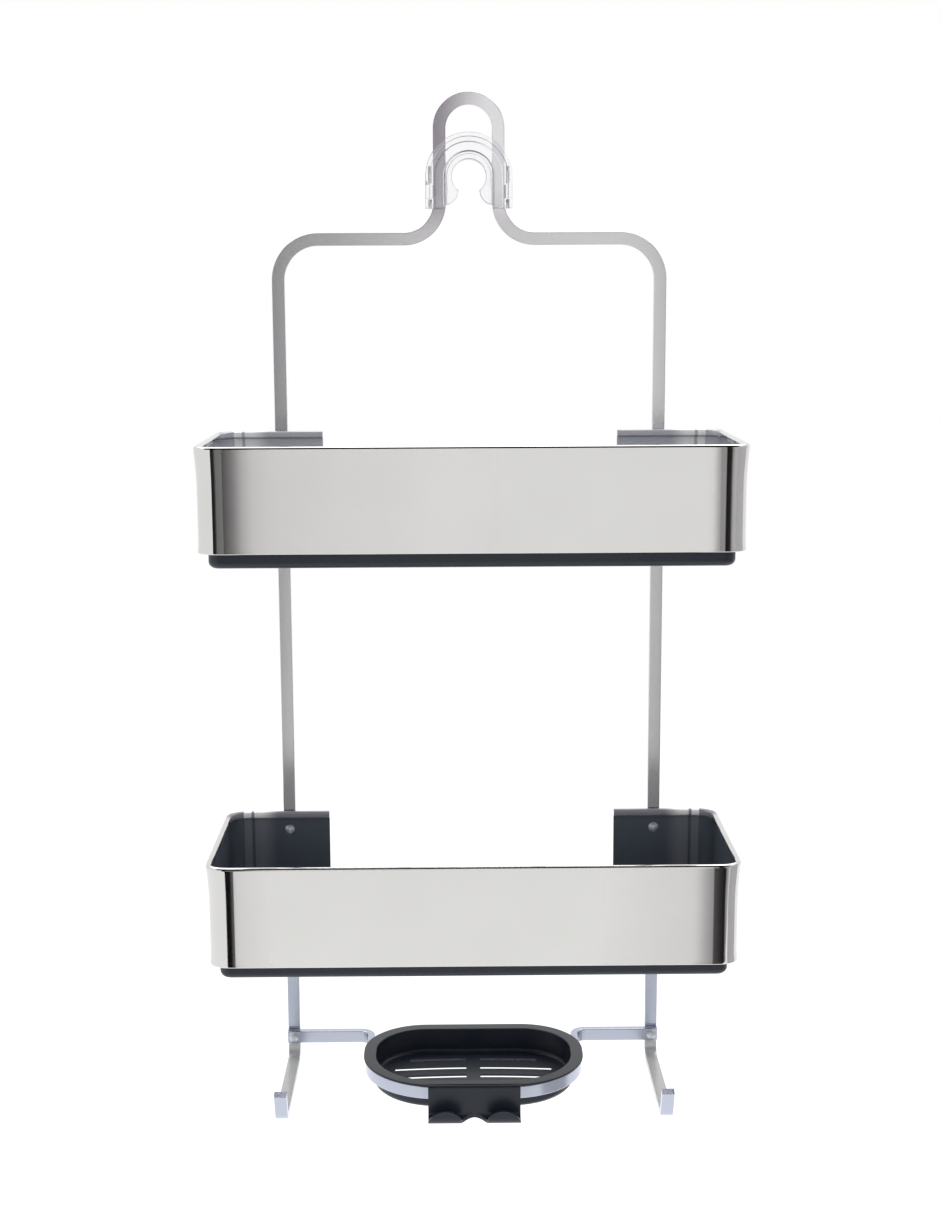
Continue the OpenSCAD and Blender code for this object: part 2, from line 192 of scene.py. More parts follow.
def sweep(bm, path, section, shift=None):
    """A closed section carried along a path of (place, across, out) and capped at both ends.

    A shift moves each corner by shift(across, point). The UV map holds
    millimetres: u along the path and v round the section.
    """
    layer = bm.loops.layers.uv.verify()
    loops, travelled = [], [0.0]
    for i, (place, across, out) in enumerate(path):
        ring = [place + across * p.x + out * p.y for p in section]
        if shift:
            ring = [corner + shift(across, p) for corner, p in zip(ring, section)]
        loops.append(add_loop(bm, ring))
        if i:
            travelled.append(travelled[-1] + (place - path[i - 1][0]).length)
    girth = [0.0]
    for a, b in zip(section, section[1:] + section[:1]):
        girth.append(girth[-1] + (b - a).length)
    for i in range(1, len(loops)):
        for k, face in enumerate(bridge(bm, loops[i - 1], loops[i])):
            for corner, (s, g) in zip(face.loops, ((0, 0), (0, 1), (1, 1), (1, 0))):
                corner[layer].uv = (travelled[i - 1 + s], girth[k + g])
    for end in (loops[0], loops[-1]):
        bm.faces.new(end)


# ---- materials ----

def new_material(name):
    material = bpy.data.materials.new(name)
    material.use_nodes = True
    nodes = material.node_tree.nodes
    return material, nodes, material.node_tree.links, nodes["Principled BSDF"]


def mixed_colours(nodes, links, factor, low, high):
    """A colour ramp from low to high, driven by a factor from 0 to 1."""
    ramp = nodes.new("ShaderNodeValToRGB")
    ramp.color_ramp.elements[0].color = (*low, 1)
    ramp.color_ramp.elements[1].color = (*high, 1)
    links.new(factor, ramp.inputs["Fac"])
    return ramp.outputs["Color"]


def noise(nodes, links, coordinates, scale, detail, stretch=(1, 1, 1)):
    """Soft noise from 0 to 1, finer along an axis that is stretched more."""
    mapping = nodes.new("ShaderNodeMapping")
    mapping.inputs["Scale"].default_value = stretch
    links.new(coordinates, mapping.inputs["Vector"])
    texture = nodes.new("ShaderNodeTexNoise")
    texture.inputs["Scale"].default_value = scale
    texture.inputs["Detail"].default_value = detail
    links.new(mapping.outputs["Vector"], texture.inputs["Vector"])
    return texture.outputs["Fac"]


def map_range(nodes, links, value, low, high):
    node = nodes.new("ShaderNodeMapRange")
    node.inputs["To Min"].default_value = low
    node.inputs["To Max"].default_value = high
    links.new(value, node.inputs["Value"])
    return node.outputs["Result"]


def bump(nodes, links, shader, height, strength, distance):
    node = nodes.new("ShaderNodeBump")
    node.inputs["Strength"].default_value = strength
    node.inputs["Distance"].default_value = distance
    links.new(height, node.inputs["Height"])
    links.new(node.outputs["Normal"], shader.inputs["Normal"])


def part_of(nodes, links, vector, axis):
    split = nodes.new("ShaderNodeSeparateXYZ")
    links.new(vector, split.inputs["Vector"])
    return split.outputs[axis]


def fade(nodes, links, value, start, end):
    """0 below the start and 1 beyond the end, and smooth between them."""
    node = nodes.new("ShaderNodeMapRange")
    node.interpolation_type = "SMOOTHSTEP"
    node.inputs["From Min"].default_value = min(start, end)
    node.inputs["From Max"].default_value = max(start, end)
    node.inputs["To Min"].default_value = float(start > end)
    node.inputs["To Max"].default_value = float(start < end)
    links.new(value, node.inputs["Value"])
    return node.outputs["Result"]


def times(nodes, links, first, second):
    node = nodes.new("ShaderNodeMath")
    node.operation = "MULTIPLY"
    links.new(first, node.inputs[0])
    links.new(second, node.inputs[1])
    return node.outputs["Value"]


def between(nodes, links, value, rise, fall):
    """1 between a rise and a fall, each given as where its fade starts and ends, and 0 outside."""
    return times(nodes, links, fade(nodes, links, value, *rise), fade(nodes, links, value, *fall))


def added(nodes, links, first, second):
    """The sum of two values, and never more than 1."""
    node = nodes.new("ShaderNodeMath")
    node.operation = "ADD"
    node.use_clamp = True
    links.new(first, node.inputs[0])
    links.new(second, node.inputs[1])
    return node.outputs["Value"]


def size_of(nodes, links, value):
    """A value without its sign."""
    node = nodes.new("ShaderNodeMath")
    node.operation = "ABSOLUTE"
    links.new(value, node.inputs[0])
    return node.outputs["Value"]


def blend_values(nodes, links, factor, first, second):
    """Mixes two values. The first is a number or another node's output."""
    node = nodes.new("ShaderNodeMix")
    links.new(factor, node.inputs["Factor"])
    if isinstance(first, (int, float)):
        node.inputs["A"].default_value = first
    else:
        links.new(first, node.inputs["A"])
    node.inputs["B"].default_value = second
    return node.outputs["Result"]


def blend(nodes, links, factor, first, second):
    """Mixes another node's colour with a second colour."""
    node = nodes.new("ShaderNodeMix")
    node.data_type = "RGBA"
    links.new(factor, node.inputs["Factor"])
    links.new(first, node.inputs["A"])
    node.inputs["B"].default_value = (*second, 1)
    return node.outputs["Result"]


def brushed_metal(name, low, high, rough_low, rough_high, bump_strength, line_width):
    """Bare metal with fine lines that run along the piece, from its UV map."""
    material, nodes, links, shader = new_material(name)
    uv = nodes.new("ShaderNodeUVMap").outputs["UV"]
    shader.inputs["Metallic"].default_value = 1
    lines = noise(nodes, links, uv, 1 / line_width, 4, (0.004, 1, 1))
    cloud = noise(nodes, links, uv, 0.02, 2)
    colour = mixed_colours(nodes, links, cloud, low, high)
    rough = map_range(nodes, links, lines, rough_low, rough_high)
    links.new(colour, shader.inputs["Base Color"])
    links.new(rough, shader.inputs["Roughness"])
    bump(nodes, links, shader, lines, bump_strength, 0.00002)
    return material, nodes, links, shader, colour, rough


# Where the bar's painted shade and painted light begin and end, from the first place to the second
PAINTED_SIDES_HEIGHT = (-0.24, -0.15)
PAINTED_LIGHT_RIGHT = (0.02, 0.10)
PAINTED_SHADE_LEFT = (0.00, -0.10)
PAINTED_SHADE_LOOP_HEIGHT = (-0.040, -0.005)
PAINTED_LIGHT_LOOP_RIGHT = (-0.022, 0.014)
PAINTED_REFLECTION_FOOT = (-0.42, -0.47)
PAINTED_HOOK_HEIGHT = (-0.567, -0.571)
PAINTED_HOOK_DEPTH = (-0.087, -0.079)


def satin_aluminium():
    """The bar: fine brushing, with painted shade on its left and loop, painted light on its right and
    right leg, a painted cool reflection at its foot and painted grey hooks.
    """
    material, nodes, links, shader, colour, _ = brushed_metal(
        "satin_aluminium", (0.56, 0.555, 0.56), (0.62, 0.615, 0.62), 0.17, 0.27, 0.12, 0.35
    )
    place = nodes.new("ShaderNodeTexCoord").outputs["Object"]
    across, depth, height = (part_of(nodes, links, place, axis) for axis in "XYZ")
    painted_sides_height_mask = fade(nodes, links, height, *PAINTED_SIDES_HEIGHT)
    painted_light_right_mask = times(nodes, links, painted_sides_height_mask, fade(nodes, links, across, *PAINTED_LIGHT_RIGHT))
    painted_shade_left_mask = times(nodes, links, painted_sides_height_mask, fade(nodes, links, across, *PAINTED_SHADE_LEFT))
    painted_shade_loop_mask = fade(nodes, links, height, *PAINTED_SHADE_LOOP_HEIGHT)
    painted_light_leg_mask = times(nodes, links, painted_shade_loop_mask, fade(nodes, links, across, *PAINTED_LIGHT_LOOP_RIGHT))
    painted_reflection_foot_mask = fade(nodes, links, height, *PAINTED_REFLECTION_FOOT)
    low_enough = fade(nodes, links, height, *PAINTED_HOOK_HEIGHT)
    painted_hook_tone_mask = times(nodes, links, low_enough, fade(nodes, links, depth, *PAINTED_HOOK_DEPTH))
    # Painted light and shade: lighter right side, darker left side and loop, light right leg, a cool
    # reflection at the foot and an even grey on the hooks
    tone = blend(nodes, links, painted_light_right_mask, colour, (0.68, 0.675, 0.68))
    tone = blend(nodes, links, painted_shade_left_mask, tone, (0.47, 0.465, 0.47))
    tone = blend(nodes, links, painted_shade_loop_mask, tone, (0.31, 0.29, 0.315))
    tone = blend(nodes, links, painted_light_leg_mask, tone, (0.80, 0.79, 0.80))
    tone = blend(nodes, links, painted_reflection_foot_mask, tone, (0.47, 0.50, 0.59))
    tone = blend(nodes, links, painted_hook_tone_mask, tone, (0.50, 0.50, 0.495))
    links.new(tone, shader.inputs["Base Color"])
    # The hooks are also made less metallic, as part of their painted even grey
    links.new(blend_values(nodes, links, painted_hook_tone_mask, 1, 0.3), shader.inputs["Metallic"])
    return material


# Where the baskets' painted shade and painted light begin and end, from the first place to the second
PAINTED_SHADE_BACK_DEPTH = (-0.022, -0.012)
PAINTED_LIGHT_FRONT_DEPTH = (-0.108, -0.118)
LOWER_BASKET_SHADE = (-0.30, -0.36)
# How far from the middle a corner's painted highlights, a soft glow and a narrow streak, rise and fall
PAINTED_CORNER_GLOW = (0.126, 0.139), (0.1432, 0.1424)
PAINTED_CORNER_STREAK = (0.1444, 0.1450), (0.1500, 0.1492)
# Half the width of a change of tone round the band's section, in millimetres
SOFT = 0.5


def basket_masks(nodes, links, depth, roll_v, inner_v, lip_v):
    """Where the band shows its inner face, and where it shows the back's rolls."""
    girth = part_of(nodes, links, nodes.new("ShaderNodeUVMap").outputs["UV"], "Y")
    inner_start, inner_end = (inner_v - SOFT, inner_v + SOFT), (lip_v + SOFT, lip_v - SOFT)
    inside = between(nodes, links, girth, inner_start, inner_end)
    on_roll = between(nodes, links, girth, (roll_v + SOFT, roll_v + 3 * SOFT), inner_start[::-1])
    return inside, times(nodes, links, on_roll, fade(nodes, links, depth, *PAINTED_SHADE_BACK_DEPTH))


def polished_aluminium(roll_v, inner_v, lip_v):
    """The baskets: polished outside, a duller mill finish inside and on the back's rolls, painted shade
    on those rolls and in the lower basket, and painted light at the corners and inside the front.

    Round the section, the roll begins at roll_v and the inner face runs from inner_v to lip_v.
    """
    material, nodes, links, shader, colour, rough = brushed_metal(
        "polished_aluminium", (0.65, 0.645, 0.63), (0.70, 0.695, 0.68), 0.02, 0.055, 0.08, 0.5
    )
    place = nodes.new("ShaderNodeTexCoord").outputs["Object"]
    across, depth, height = (part_of(nodes, links, place, axis) for axis in "XYZ")
    inside, shaded_back_roll = basket_masks(nodes, links, depth, roll_v, inner_v, lip_v)
    dull = added(nodes, links, inside, shaded_back_roll)
    lower = fade(nodes, links, height, *LOWER_BASKET_SHADE)
    shaded_lower_roll = times(nodes, links, shaded_back_roll, lower)
    shaded_lower_inside = times(nodes, links, inside, lower)
    painted_light_front_inside = times(nodes, links, inside, fade(nodes, links, depth, *PAINTED_LIGHT_FRONT_DEPTH))
    span = size_of(nodes, links, across)
    glow, streak = (between(nodes, links, span, *light) for light in (PAINTED_CORNER_GLOW, PAINTED_CORNER_STREAK))
    painted_corner_light = added(nodes, links, glow, streak)
    painted_corner_highlight = times(nodes, links, dull, painted_corner_light)
    painted_lower_corner_highlight = times(nodes, links, shaded_lower_inside, painted_corner_light)
    # Painted shade: the back's rolls are darker, and darker again on the lower basket
    tone = blend(nodes, links, shaded_back_roll, colour, (0.42, 0.43, 0.46))
    tone = blend(nodes, links, shaded_lower_roll, tone, (0.22, 0.22, 0.25))
    tone = blend(nodes, links, inside, tone, (0.42, 0.44, 0.48))
    # Painted highlights: a soft glow and a narrow streak near each corner, on the inner face and the
    # back's rolls
    tone = blend(nodes, links, painted_corner_highlight, tone, (0.80, 0.80, 0.81))
    # Painted shade: the lower basket's inside is near black, as if shaded by the upper basket
    tone = blend(nodes, links, shaded_lower_inside, tone, (0.065, 0.08, 0.10))
    # Painted highlights: the same glow and streak, dimmer, inside the lower basket
    tone = blend(nodes, links, painted_lower_corner_highlight, tone, (0.15, 0.16, 0.185))
    # Painted light: the front's inner face is made light, so the bar above mirrors it lighter
    tone = blend(nodes, links, painted_light_front_inside, tone, (0.80, 0.81, 0.84))
    links.new(tone, shader.inputs["Base Color"])
    links.new(blend_values(nodes, links, dull, rough, 0.30), shader.inputs["Roughness"])
    links.new(blend_values(nodes, links, dull, 1, 0.35), shader.inputs["Metallic"])
    return material


def rivet_metal():
    """Plain metal with a fine grain, rough enough to look even."""
    material, nodes, links, shader = new_material("rivet_metal")
    place = nodes.new("ShaderNodeTexCoord").outputs["Object"]
    shader.inputs["Metallic"].default_value = 0.7
    grain = noise(nodes, links, place, 900, 4)
    tone = mixed_colours(nodes, links, grain, (0.50, 0.52, 0.57), (0.60, 0.62, 0.67))
    links.new(tone, shader.inputs["Base Color"])
    links.new(map_range(nodes, links, grain, 0.38, 0.50), shader.inputs["Roughness"])
    bump(nodes, links, shader, grain, 0.15, 0.00005)
    return material


def charcoal_plastic():
    """Moulded dark plastic with a very fine even grain."""
    material, nodes, links, shader = new_material("charcoal_plastic")
    place = nodes.new("ShaderNodeTexCoord").outputs["Object"]
    grain = noise(nodes, links, place, 2600, 3)
    cloud = noise(nodes, links, place, 14, 2)
    tone = mixed_colours(nodes, links, cloud, (0.008, 0.012, 0.020), (0.012, 0.017, 0.028))
    links.new(tone, shader.inputs["Base Color"])
    links.new(map_range(nodes, links, grain, 0.30, 0.42), shader.inputs["Roughness"])
    shader.inputs["IOR"].default_value = 1.43
    bump(nodes, links, shader, grain, 0.12, 0.00004)
    return material


def clear_plastic():
    """Clear plastic, a little milky, with painted shade: grey where a face turns sideways, and a
    painted highlight: white where it turns right.
    """
    material, nodes, links, shader = new_material("clear_plastic")
    coordinates = nodes.new("ShaderNodeTexCoord")
    flow = noise(nodes, links, coordinates.outputs["Object"], 60, 2)
    normal = coordinates.outputs["Normal"]
    facing = size_of(nodes, links, part_of(nodes, links, normal, "Y"))
    sideways = fade(nodes, links, facing, 0.99, 0.75)
    to_right = fade(nodes, links, part_of(nodes, links, normal, "X"), 0.08, 0.40)
    painted_glint = times(nodes, links, to_right, fade(nodes, links, facing, 0.25, 0.45))
    tone = mixed_colours(nodes, links, flow, (0.975, 0.97, 0.985), (0.995, 0.99, 1.0))
    # Painted shade on faces that turn sideways and a painted highlight on faces that turn right, in
    # place of refraction and reflection
    tone = blend(nodes, links, sideways, tone, (0.50, 0.48, 0.56))
    tone = blend(nodes, links, painted_glint, tone, (0.99, 0.985, 1.0))
    links.new(tone, shader.inputs["Base Color"])
    links.new(map_range(nodes, links, flow, 0.02, 0.06), shader.inputs["Roughness"])
    # The painted highlight also makes those faces less clear
    clear = blend_values(nodes, links, painted_glint, 0.90, 0.45)
    links.new(clear, shader.inputs["Transmission Weight"])
    shader.inputs["IOR"].default_value = 1.46
    bump(nodes, links, shader, flow, 0.05, 0.0003)
    return material


# ---- frame bar ----

BAR_W = 7.8
BAR_T = 4.8
BAR_EDGE = 0.45
EDGE_STEPS = 4
LOOP_R = 18.3
NECK_BEND_R = 22.5
SHOULDER_BEND_R = 25.5
HOOK_BEND_R = 10
HOOK_CLIMB = 1.5
HOOK_RUN = 82.7
TIP_BEND_R = 6
TIP_LEN = 15.6
TIP_LEAN = 23

bar_high = node_box("frame_bar")[1]
SIDE_X = bar_high.x - BAR_W / 2
LOOP_TOP = bar_high.z - BAR_W / 2
LOOP_Z = LOOP_TOP - LOOP_R
SHOULDER_Z = -37.8
NECK_Z = SHOULDER_Z + NECK_BEND_R
HOOK_FOOT_Z = -579.2
HOOK_BEND_Z = HOOK_FOOT_Z + HOOK_BEND_R


def frame_half():
    """The bar's middle line from the top of the loop to the right-hand hook's tip."""
    front = walk(
        [
            (LOOP_R, -90),
            (LOOP_Z - NECK_Z, 0),
            (NECK_BEND_R, 90),
            (SIDE_X - LOOP_R - NECK_BEND_R - SHOULDER_BEND_R, 0),
            (SHOULDER_BEND_R, -90),
        ],
        (0, LOOP_TOP),
        facet=3,
    )
    path = []
    for place, heading in front:
        ahead = unit(heading)
        across = Vector((-ahead.y, 0, ahead.x))
        path.append((Vector((place.x, 0, place.y)), across, Vector((0, -1, 0))))
    side = walk(
        [
            (SHOULDER_Z - SHOULDER_BEND_R - HOOK_BEND_Z, 0),
            (HOOK_BEND_R, -90 - HOOK_CLIMB),
            (HOOK_RUN, 0),
            (TIP_BEND_R, -90 + HOOK_CLIMB + TIP_LEAN),
            (TIP_LEN, 0),
        ],
        (0, SHOULDER_Z - SHOULDER_BEND_R),
        heading=-90,
        facet=5,
    )
    for place, heading in side[1:]:
        out = unit(heading - 90)
        path.append((Vector((SIDE_X, place.x, place.y)), Vector((1, 0, 0)), Vector((0, out.x, out.y))))
    return path


def mirrored(path):
    """The same path on the other side, walked the other way."""
    flip = Vector((-1, 1, 1))
    return [(place * flip, across * flip, out * flip) for place, across, out in reversed(path)]


def make_frame_bar(material):
    """The whole bar, from the left hook over the loop to the right hook."""
    half = frame_half()
    bm = bmesh.new()
    sweep(bm, mirrored(half)[:-1] + half, rounded_rectangle(BAR_W, BAR_T, BAR_EDGE, EDGE_STEPS))
    new_piece("bent_bar", bm, material, "frame", ["frame_bar"])


# ---- baskets ----

BASKET_CORNER_R = 13
BEND_R = 11.5
EASING_R = 60
EASING_TURN = 6
BAND_T = 1.2
HEM_W = 3.7
HEM_H = 4.6
LIP_W = 3.6
LIP_EDGE_R = 0.55
FOOT_BEND_R = 0.5
LIP_BEND_R = 0.8
HEM_EDGE_R = 1.2
HEM_CREASE_R = 0.4
BACK_GAP = 187
RIM_FLARE = 1.6
FLARE_DEPTH = 24
FOOT_FLARE = 0.45
FOOT_DEPTH = 8
WALL_STATIONS = (8, 11, 14, 17, 20, 24, 54, 57, 59.5)


def wall_size(node):
    """Outer width and depth of a band's wall, without its flared rim."""
    low, high = node_box(node)
    return high.x - low.x - 2 * RIM_FLARE, high.y - low.y


def band_section(height):
    """The band's section as (distance inward, height below the rim), with its rolled hem and lip."""
    roll = HEM_W / 2
    points = arc((FOOT_BEND_R, FOOT_BEND_R - height), FOOT_BEND_R, 270, 180, 3)
    points += [Vector((0, -depth)) for depth in reversed(WALL_STATIONS)]
    points += arc((roll, -roll), roll, 180, 0, 14)
    points += arc((HEM_W - HEM_EDGE_R, HEM_EDGE_R - HEM_H), HEM_EDGE_R, 0, -90, 5)
    points += arc((BAND_T + HEM_CREASE_R, -HEM_H - HEM_CREASE_R), HEM_CREASE_R, 90, 180, 3)
    points += [Vector((BAND_T, -depth)) for depth in WALL_STATIONS]
    inner_bend = (BAND_T + LIP_BEND_R, BAND_T + LIP_BEND_R - height)
    points += arc(inner_bend, LIP_BEND_R, 180, 270, 4)
    points += arc((LIP_W - 0.5, 0.6 - height), LIP_EDGE_R, 90, -90, 5)
    return points


def face_spans(section):
    """Distances round the section to the roll, to the inner face and to the inner face's end."""
    girth, outer, inner = 0.0, [], []
    for a, b in zip(section, section[1:]):
        if abs(a.x) < 0.01:
            outer.append(girth)
        if abs(a.x - BAND_T) < 0.01 and a.y < -HEM_H:
            inner.append(girth)
        girth += (b - a).length
    return outer[-1], inner[0], inner[-1]


def eased_corner():
    """Steps round a corner whose bend begins and ends gently, and how far it reaches each way."""
    turn = math.radians(EASING_TURN)
    reach = EASING_R * (math.sin(turn) + 1 - math.cos(turn))
    reach += BEND_R * (math.cos(turn) - math.sin(turn))
    bend = (BEND_R, 2 * EASING_TURN - 90)
    return [(EASING_R, -EASING_TURN), bend, (EASING_R, -EASING_TURN)], reach


def plan_path(width, depth, gap, middle_y):
    """The C-shaped outline of a basket, from the right end of its back round to the left end."""
    corner, reach = eased_corner()
    back = (width / 2 - reach - gap / 2, 0)
    side = (depth - 2 * reach, 0)
    front = (width - 2 * reach, 0)
    steps = [back, *corner, side, *corner, front, *corner, side, *corner, back]
    return walk(steps, (gap / 2, middle_y + depth / 2), facet=2)


def band_lean(height):
    """How a band's two sides lean outward at the rim and, a little, at the foot."""
    def lean(across, point):
        rim = RIM_FLARE * max(0, 1 + point.y / FLARE_DEPTH) ** 1.6
        foot = FOOT_FLARE * max(0, 1 - (height + point.y) / FOOT_DEPTH) ** 2
        return Vector((-across.x * (rim + foot), 0, 0))
    return lean


def make_band(name, node, material):
    """A basket's metal band, open at the back between the two uprights."""
    low, high = node_box(node)
    width, depth = wall_size(node)
    path = []
    for place, heading in plan_path(width, depth, BACK_GAP, (low.y + high.y) / 2):
        inward = unit(heading - 90)
        rim = Vector((place.x, place.y, high.z))
        path.append((rim, Vector((inward.x, inward.y, 0)), Vector((0, 0, 1))))
    bm = bmesh.new()
    height = high.z - low.z
    sweep(bm, path, band_section(height), band_lean(height))
    new_piece(name, bm, material, "frame", [node])


TRAY_SIDE_GAP = 5.7
TRAY_FRONT_GAP = 6.0
TRAY_RIM_GAP = 1.6
TRAY_RIM_T = 1.6
TRAY_T = 2.0
TRAY_FILLET = 4.0
TRAY_LEDGE = 1.3
TRAY_SLOT_W = 4.0
TRAY_SLOT_MARGIN = 14
TRAY_SLOT_ROWS = 7
TRAY_SLOT_COLUMNS = 3


def tray_profile(bottom, top):
    """A tray's section from its underside out, over the rim and in to its floor.

    Each step is the distance in from the band's side and from its front, and the height.
    """
    profile = []
    for p in arc((TRAY_FILLET, bottom + TRAY_FILLET), TRAY_FILLET, 270, 180, 6):
        profile.append((TRAY_SIDE_GAP + p.x, TRAY_FRONT_GAP + p.x, p.y))
    profile.append((TRAY_SIDE_GAP, TRAY_FRONT_GAP, TRAY_LEDGE))
    for p in arc((0.5, TRAY_LEDGE + 0.5), 0.5, 270, 180, 2):
        profile.append((TRAY_RIM_GAP + p.x, TRAY_RIM_GAP + p.x, p.y))
    for p in arc((TRAY_RIM_T / 2, top - TRAY_RIM_T / 2), TRAY_RIM_T / 2, 180, 0, 6):
        profile.append((TRAY_RIM_GAP + p.x, TRAY_RIM_GAP + p.x, p.y))
    inner = TRAY_RIM_GAP + TRAY_RIM_T
    wall_side, wall_front = TRAY_SIDE_GAP + TRAY_T, TRAY_FRONT_GAP + TRAY_T
    profile.append((inner, inner, TRAY_LEDGE + TRAY_RIM_T))
    profile.append((wall_side, wall_front, TRAY_LEDGE + TRAY_RIM_T))
    fillet = TRAY_FILLET - TRAY_T
    for p in arc((fillet, bottom + TRAY_T + fillet), fillet, 180, 270, 5):
        profile.append((wall_side + p.x, wall_front + p.x, p.y))
    return profile


def make_slotted_floor(bm, rings, slots, above, below):
    """Joins a pan's rings and closes it with a floor that has a hole for each slot.

    The functions above(point) and below(point) give a slot's corners on the floor's two faces.
    """
    for a, b in zip(rings, rings[1:]):
        bridge(bm, a, b)
    tops, bottoms = [rings[-1]], [rings[0]]
    for outline in slots:
        tops.append(add_loop(bm, [above(p) for p in outline]))
        bottoms.append(add_loop(bm, [below(p) for p in outline]))
        bridge(bm, tops[-1], bottoms[-1])
    fill(bm, tops)
    fill(bm, bottoms)


def make_tray(name, band_node, node, body, material):
    """A plastic pan whose rim rests on its band's lip."""
    band_low, band_high = node_box(band_node)
    low, high = node_box(node)
    width, depth = wall_size(band_node)
    middle = Vector(((band_high.x + band_low.x) / 2, (band_high.y + band_low.y) / 2, band_low.z))
    bottom, top = low.z - middle.z, high.z - middle.z
    bm = bmesh.new()

    def ring(side_in, front_in, z):
        radius = max(BASKET_CORNER_R - (side_in + front_in) / 2, 2)
        outline = rounded_rectangle(width - 2 * side_in, depth - 2 * front_in, radius, 8)
        return add_loop(bm, [middle + Vector((p.x, p.y, z)) for p in outline])

    make_slotted_floor(
        bm, [ring(*step) for step in tray_profile(bottom, top)], tray_slots(width, depth),
        lambda p: middle + Vector((p.x, p.y, bottom + TRAY_T)),
        lambda p: middle + Vector((p.x, p.y, bottom)),
    )
    new_piece(name, bm, material, body, [node])


def tray_slots(width, depth):
    """Outlines of the drain slots in a tray's floor, centred on the tray."""
    field_w = width - 2 * TRAY_SIDE_GAP - 2 * TRAY_SLOT_MARGIN
    field_d = depth - 2 * TRAY_FRONT_GAP - 2 * TRAY_SLOT_MARGIN
    pitch_x, pitch_y = field_w / TRAY_SLOT_COLUMNS, field_d / TRAY_SLOT_ROWS
    outline = rounded_rectangle(pitch_x - 2 * TRAY_SLOT_W, TRAY_SLOT_W, TRAY_SLOT_W / 2 - 0.01, 4)
    found = []
    for column in range(TRAY_SLOT_COLUMNS):
        for row in range(TRAY_SLOT_ROWS):
            x = (column + 0.5) * pitch_x - field_w / 2
            y = (row + 0.5) * pitch_y - field_d / 2
            found.append([Vector((x, y)) + p for p in outline])
    return found


# ---- soap bracket ----

BRACKET_HALF_W = 67.6
BRACKET_BEND_R = 7.9
BRACKET_FRONT_R = 45.2
BRACKET_EDGE = 0.7
DISH_FORWARD = 48.55


def make_bracket(material):
    """The bar on edge that runs between the uprights and round the front of the dish."""
    low, high = node_box("soap_bracket")
    arm_y = high.y - BAR_T / 2
    middle_z = (low.z + high.z) / 2
    half = walk(
        [
            (high.x - BRACKET_HALF_W - BRACKET_BEND_R, 0),
            (BRACKET_BEND_R, -90),
            (DISH_FORWARD + arm_y - BRACKET_BEND_R, 0),
            (BRACKET_FRONT_R, 90),
            (BRACKET_HALF_W - BRACKET_FRONT_R, 0),
        ],
        (low.x, arm_y),
        facet=3,
    )
    path = []
    for place, heading in half:
        left = unit(heading + 90)
        middle = Vector((place.x, place.y, middle_z))
        path.append((middle, Vector((left.x, left.y, 0)), Vector((0, 0, 1))))
    section = rounded_rectangle(BAR_T, high.z - low.z, BRACKET_EDGE, EDGE_STEPS)
    bm = bmesh.new()
    sweep(bm, path + mirrored(path[:-1]), section)
    new_piece("bent_bracket", bm, material, "frame", ["soap_bracket"])


# ---- soap dish and razor holder ----

FLANGE_OVERHANG = 1.0
FLANGE_W = 8.0
FLANGE_T = 1.3
FLANGE_HALF_W = BRACKET_HALF_W + BAR_T / 2 + FLANGE_OVERHANG
FLANGE_HALF_D = BRACKET_FRONT_R + BAR_T / 2 + FLANGE_OVERHANG
DISH_BACK_R = 40
DISH_DEPTH = 17.7
BASIN_WALL = 1.6
BASIN_FLOOR = 1.3
BASIN_FOOT_R = 3
BASIN_FILLET = 2.4
DISH_SLOT_PITCH = 13.2
DISH_SLOT_SHIFT = 2.6
DISH_SLOT_MARGIN = 7
DISH_SLOT_W = 4.6
DISH_BACK_SLOT_W = 3
DISH_SLOT_BOW_R = 500
DISH_BRIDGE = 9.2
HOLDER_W = 57.5
HOLDER_T = 2
HOLDER_H = 22
TROUGH_R = 3.7
LIP_RISE = 3.9
LIP_R = 12.2
LIP_X = 17.7
NOTCH_R = 8.6
NOTCH_SHIFT = 0.9
HOLDER_ROUND = 0.35


def dish_outline(inward, count=14):
    """The dish's outline moved inward: rounder at its front than at its back."""
    front_x, back_x = FLANGE_HALF_W - FLANGE_HALF_D, FLANGE_HALF_W - DISH_BACK_R
    back_y = FLANGE_HALF_D - DISH_BACK_R
    points = arc((front_x, 0), FLANGE_HALF_D - inward, -90, 0, count)
    points += arc((back_x, back_y), DISH_BACK_R - inward, 0, 90, count)
    points += arc((-back_x, back_y), DISH_BACK_R - inward, 90, 180, count)
    points += arc((-front_x, 0), FLANGE_HALF_D - inward, 180, 270, count)
    return points


def dish_slots():
    """Outlines of the drain slots in the dish's floor, each bowed towards the front at its end."""
    found = []
    for row in range(-2, 3):
        row_y = row * DISH_SLOT_PITCH + DISH_SLOT_SHIFT
        slot_w = DISH_SLOT_W if row < 2 else DISH_BACK_SLOT_W
        reach = math.sqrt((FLANGE_HALF_D - FLANGE_W - BASIN_FOOT_R + BASIN_WALL) ** 2 - row_y ** 2)
        outer = FLANGE_HALF_W - FLANGE_HALF_D + reach - DISH_SLOT_MARGIN
        first = math.degrees(math.asin(DISH_BRIDGE / 2 / DISH_SLOT_BOW_R))
        last = math.degrees(math.asin(outer / DISH_SLOT_BOW_R))
        centre = (0, row_y - DISH_SLOT_BOW_R)
        for side in (-1, 1):
            start, end = 90 - side * first, 90 - side * last
            back = arc(centre, DISH_SLOT_BOW_R + slot_w / 2, start, end, 12)
            front = arc(centre, DISH_SLOT_BOW_R - slot_w / 2, end, start, 12)
            found.append(back + front)
    return found


